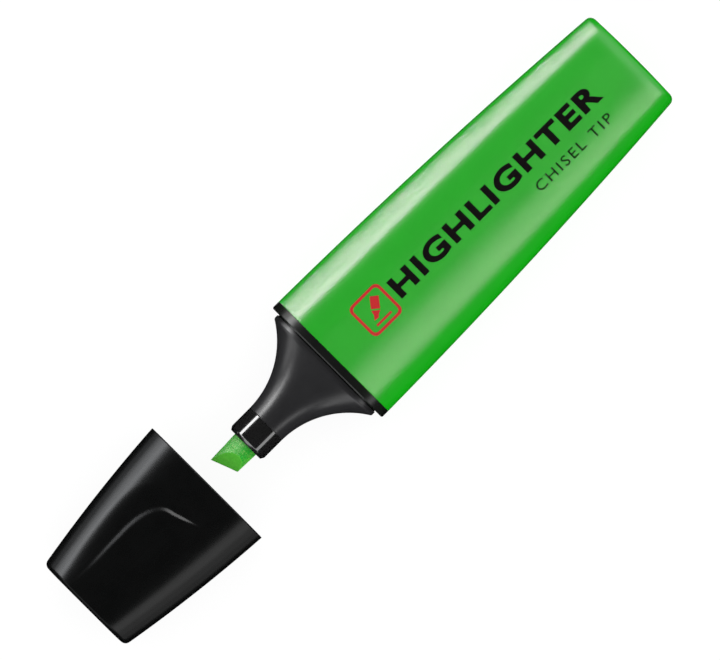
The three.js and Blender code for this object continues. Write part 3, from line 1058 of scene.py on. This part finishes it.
def slab(work, outer, inner=None):
    """A flat shape one unit thick, with a hole where an inner outline is given."""
    top = [work.verts.new((p.x, p.y, 1)) for p in outer]
    bottom = [work.verts.new((p.x, p.y, 0)) for p in outer]
    if inner is None:
        work.faces.new(top)
        work.faces.new(bottom[::-1])
    else:
        inner_top = [work.verts.new((p.x, p.y, 1)) for p in inner]
        inner_bottom = [work.verts.new((p.x, p.y, 0)) for p in inner]
        band(work, top, inner_top)
        band(work, inner_bottom, bottom)
        band(work, inner_top, inner_bottom)
    band(work, bottom, top)


def badge_mesh():
    """A rounded-square badge: a frame round a marker, point down, over the line it draws."""
    work = bmesh.new()
    slab(work, ring_outline(1.0, 0.32), ring_outline(0.85, 0.22))
    lean = Matrix.Rotation(math.radians(-38), 3, "Z")
    body = ((-0.23, 0.72), (-0.23, 0.08), (0.23, 0.08), (0.23, 0.72))
    neck = ((-0.23, 0.0), (-0.12, -0.22), (-0.12, -0.5), (0.12, -0.36), (0.12, -0.22), (0.23, 0.0))
    for part in (body, neck):
        slab(work, [lean @ Vector((x, y - 0.02, 0)) for x, y in part])
    stroke = ((-0.5, -0.66), (0.5, -0.66), (0.5, -0.54), (-0.5, -0.54))
    slab(work, [Vector((x, y, 0)) for x, y in stroke])
    bmesh.ops.recalc_face_normals(work, faces=work.faces)
    mesh = bpy.data.meshes.new("badge")
    work.to_mesh(mesh)
    work.free()
    return mesh


def build_print():
    """The badge and the two lines of lettering on the barrel's upper face."""
    print_piece("print_badge", badge_mesh(), *BADGE_PLACE, RED_INK)
    word = word_mesh("HIGHLIGHTER", 0.04, 1.16)
    print_piece("print_word", word, *WORD_PLACE, BLACK_INK)
    small = word_mesh("CHISEL TIP", 0.0, 1.25)
    print_piece("print_small_word", small, *SMALL_WORD_PLACE, BLACK_INK)


build_barrel()
build_front_section()
build_nozzle()
build_nib()
build_reservoir()
build_film()
build_cap()
build_seal()
build_print()


# ---- Stage: floor, world, lights and camera ----

FLOOR_HALF = 5.0
LIGHT_DISTANCE = 0.5
END_BOX_LENGTH = 1.2
NIB_BOX_SIDE = 0.45
WHITE = (1.0, 1.0, 1.0)
ROSY = (1.0, 0.82, 0.9)
WARM = (1.0, 1.0, 0.8)
COOL = (0.95, 0.97, 1.0)

# How far strips of light reach along the pen, from the scene's middle.
LONG_SPAN = (-1.5, 1.5)
BARREL_SPAN = (-0.15, 0.22)
CAP_SPAN = (-0.32, 0.08)
FORWARD_SPAN = (-0.3, 1.5)

# Each row is a strip: its two tilts and its radiance.
BARREL_KEY = (
    (42, 54, 1.55),
    (54, 66, 2.75),
    (66, 80, 2.4),
    (80, 96, 1.9),
    (96, 112, 1.5),
    (112, 128, 1.0),
)
BARREL_FILL = ((-70, -58, 0.25), (-58, -27, 0.82), (-27, -12, 0.62), (-12, -4, 0.28))
CAP_KEY = ((49, 54, 4.2), (54, 64, 5.8), (64, 80, 3.4), (80, 92, 1.7), (92, 117, 0.35))
CAP_FILL = ((-74, -46, 1.05), (-100, -74, 0.5), (-126, -100, 0.25))


def build_floor():
    """A pale floor. Most of its light is its own, so the pen's shadow on it stays faint."""
    mesh = bpy.data.meshes.new("floor")
    half = FLOOR_HALF
    corners = [(-half, -half, 0), (half, -half, 0), (half, half, 0), (-half, half, 0)]
    mesh.from_pydata(corners, [], [(0, 1, 2, 3)])
    floor = bpy.data.objects.new("floor", mesh)
    bpy.context.scene.collection.objects.link(floor)
    n = Nodes("floor_paper")
    n.set(Base_Color=(0.14, 0.14, 0.14, 1), Roughness=0.9, Specular_IOR_Level=0.0)
    n.set(Emission_Color=(1, 1, 1, 1), Emission_Strength=0.9)
    n.link(n.bump(n.noise(900), 0.01), n.shader.inputs["Normal"])
    mesh.materials.append(n.material)
    floor.visible_glossy = False
    floor.visible_shadow = False


def build_world():
    """White all round for even soft light. Reflections show only the softboxes, against black."""
    world = bpy.data.worlds.new("studio")
    bpy.context.scene.world = world
    world.use_nodes = True
    world.node_tree.nodes["Background"].inputs["Color"].default_value = (1, 1, 1, 1)
    world.cycles_visibility.glossy = False


def softbox(name, toward, along_it, size, radiance, receiver, colour=WHITE):
    """A softbox in the direction toward, facing the object, seen only in the receiver's gloss.

    Its size is (along along_it, across it).
    """
    data = bpy.data.lights.new(name, "AREA")
    data.shape = "RECTANGLE"
    data.size, data.size_y = size
    data.energy = radiance * math.pi * size[0] * size[1]
    data.color = colour
    lamp = bpy.data.objects.new(name, data)
    turn = Matrix((along_it, toward.cross(along_it), toward)).transposed().to_4x4()
    lamp.matrix_world = Matrix.Translation(toward * LIGHT_DISTANCE) @ turn
    lamp.visible_camera = False
    lamp.visible_diffuse = False
    bpy.context.scene.collection.objects.link(lamp)
    lit = bpy.data.collections.new(name + "_lit")
    lit.objects.link(bpy.data.objects[receiver])
    lamp.light_linking.receiver_collection = lit
    return lamp


def width_between(tilts):
    """How wide a softbox is that fills the angle between two tilts."""
    return 2 * LIGHT_DISTANCE * math.tan(math.radians(abs(tilts[1] - tilts[0])) / 2)


def side_strip(name, tilts, radiance, receiver, colour=WHITE, span=LONG_SPAN, fan=0.0):
    """A softbox beside the pen between two tilts, in degrees from straight up toward +Y.

    It covers the given span along the pen. A fan in degrees leads its -X end further down.
    """
    start, end = span
    middle = math.radians(sum(tilts) / 2)
    toward = Vector((0, math.sin(middle), math.cos(middle)))
    turn = Matrix.Rotation(math.copysign(math.radians(fan), middle), 3, toward)
    size = (end - start, width_between(tilts))
    lamp = softbox(name, toward, turn @ Vector((1, 0, 0)), size, radiance, receiver, colour)
    lamp.location += turn @ Vector(((start + end) / 2, 0, 0))
    return lamp


def barrel_strip(name, tilts, radiance, colour, span=BARREL_SPAN):
    """A side strip for the barrel. With multiple importance sampling it would tint the green too."""
    lamp = side_strip(name, tilts, radiance, "barrel_shell", colour, span)
    lamp.data.cycles.use_multiple_importance_sampling = False


def end_box(name, tilts, radiance, receiver):
    """A softbox beyond one end of the pen between two tilts, in degrees from straight up to +X."""
    middle = math.radians(sum(tilts) / 2)
    toward = Vector((math.sin(middle), 0, math.cos(middle)))
    size = (END_BOX_LENGTH, width_between(tilts))
    softbox(name, toward, Vector((0, 1, 0)), size, radiance, receiver)


def light_barrel():
    for number, (start, end, radiance) in enumerate(BARREL_KEY):
        barrel_strip(f"barrel_key_{number}", (start, end), radiance, ROSY)
    for number, (start, end, radiance) in enumerate(BARREL_FILL):
        barrel_strip(f"barrel_fill_{number}", (start, end), radiance, WARM)
    barrel_strip("barrel_key_front", (45, 56), 2.3, ROSY, span=(-0.15, 0.03))
    end_box("barrel_back_box", (14, 44), 0.42, "barrel_shell")
    end_box("barrel_back_glow", (44, 100), 0.3, "barrel_shell")


def light_cap():
    cap = "cap_shell_fine"
    for number, (start, end, radiance) in enumerate(CAP_KEY):
        side_strip(f"cap_key_{number}", (start, end), radiance, cap, COOL, CAP_SPAN)
    for number, (start, end, radiance) in enumerate(CAP_FILL):
        side_strip(f"cap_fill_{number}", (start, end), radiance, cap, WHITE, CAP_SPAN)
    end_box("cap_back_box", (52, 74), 4.6, cap)
    end_box("cap_front_box", (-72, -50), 0.5, cap)


def light_neck():
    neck = "front_section_shell"
    side_strip("neck_key", (54, 62), 2.4, neck, fan=6)
    side_strip("neck_key_middle", (54, 63), 5.6, neck, span=(-0.45, -0.1), fan=12)
    side_strip("neck_key_front", (45, 62), 6.0, neck, span=(-0.22, 1.5))
    side_strip("neck_wing", (62, 84), 2.2, neck, span=FORWARD_SPAN)
    side_strip("neck_fill", (-67, -57), 0.9, neck, fan=4)
    side_strip("neck_fill_front", (-70, -52), 1.1, neck, span=FORWARD_SPAN)
    end_box("neck_front_box", (-96, -74), 1.5, neck)


def light_nozzle_and_nib():
    nozzle = "nozzle_sleeve"
    side_strip("nozzle_key", (50, 64), 6.6, nozzle)
    side_strip("nozzle_fill", (-70, -55), 1.6, nozzle)
    end_box("nozzle_front_box", (-100, -40), 1.6, nozzle)
    toward = Vector((0.1, 0.75, 0.65)).normalized()
    across = toward.orthogonal().normalized()
    softbox("nib_key", toward, across, (NIB_BOX_SIDE, NIB_BOX_SIDE), 15.0, "nib_chisel", WARM)


def build_lights():
    """Each finish has softboxes of its own: a bright key on one side and a dim fill on the other."""
    light_barrel()
    light_cap()
    light_neck()
    light_nozzle_and_nib()


PHOTO_WIDTH = 0.1246  # of the object's plane that the picture's width takes in
AIM_OFFSET = Vector((0.00019, -0.00002, 0))  # the picture's middle from the middle of the object
LENS, SENSOR = 1200, 36  # a long lens, for almost no perspective


def build_camera():
    """Straight above the pen, turned so that the barrel points to the picture's upper right."""
    data = bpy.data.cameras.new("camera")
    data.lens = LENS
    data.sensor_width = SENSOR
    data.clip_end = 20
    camera = bpy.data.objects.new("camera", data)
    bpy.context.scene.collection.objects.link(camera)
    low, high = cad_bounds
    centre = (Vector(low) + Vector(high)) / 2 + AIM_OFFSET
    half = math.sqrt(0.5)
    right, up, back = Vector((half, -half, 0)), Vector((half, half, 0)), Vector((0, 0, 1))
    turn = Matrix((right, up, back)).transposed().to_4x4()
    distance = PHOTO_WIDTH * LENS / SENSOR
    camera.matrix_world = Matrix.Translation(centre + back * distance) @ turn
    bpy.context.scene.camera = camera


build_floor()
build_world()
build_lights()
build_camera()
bpy.context.scene.view_settings.view_transform = "Standard"
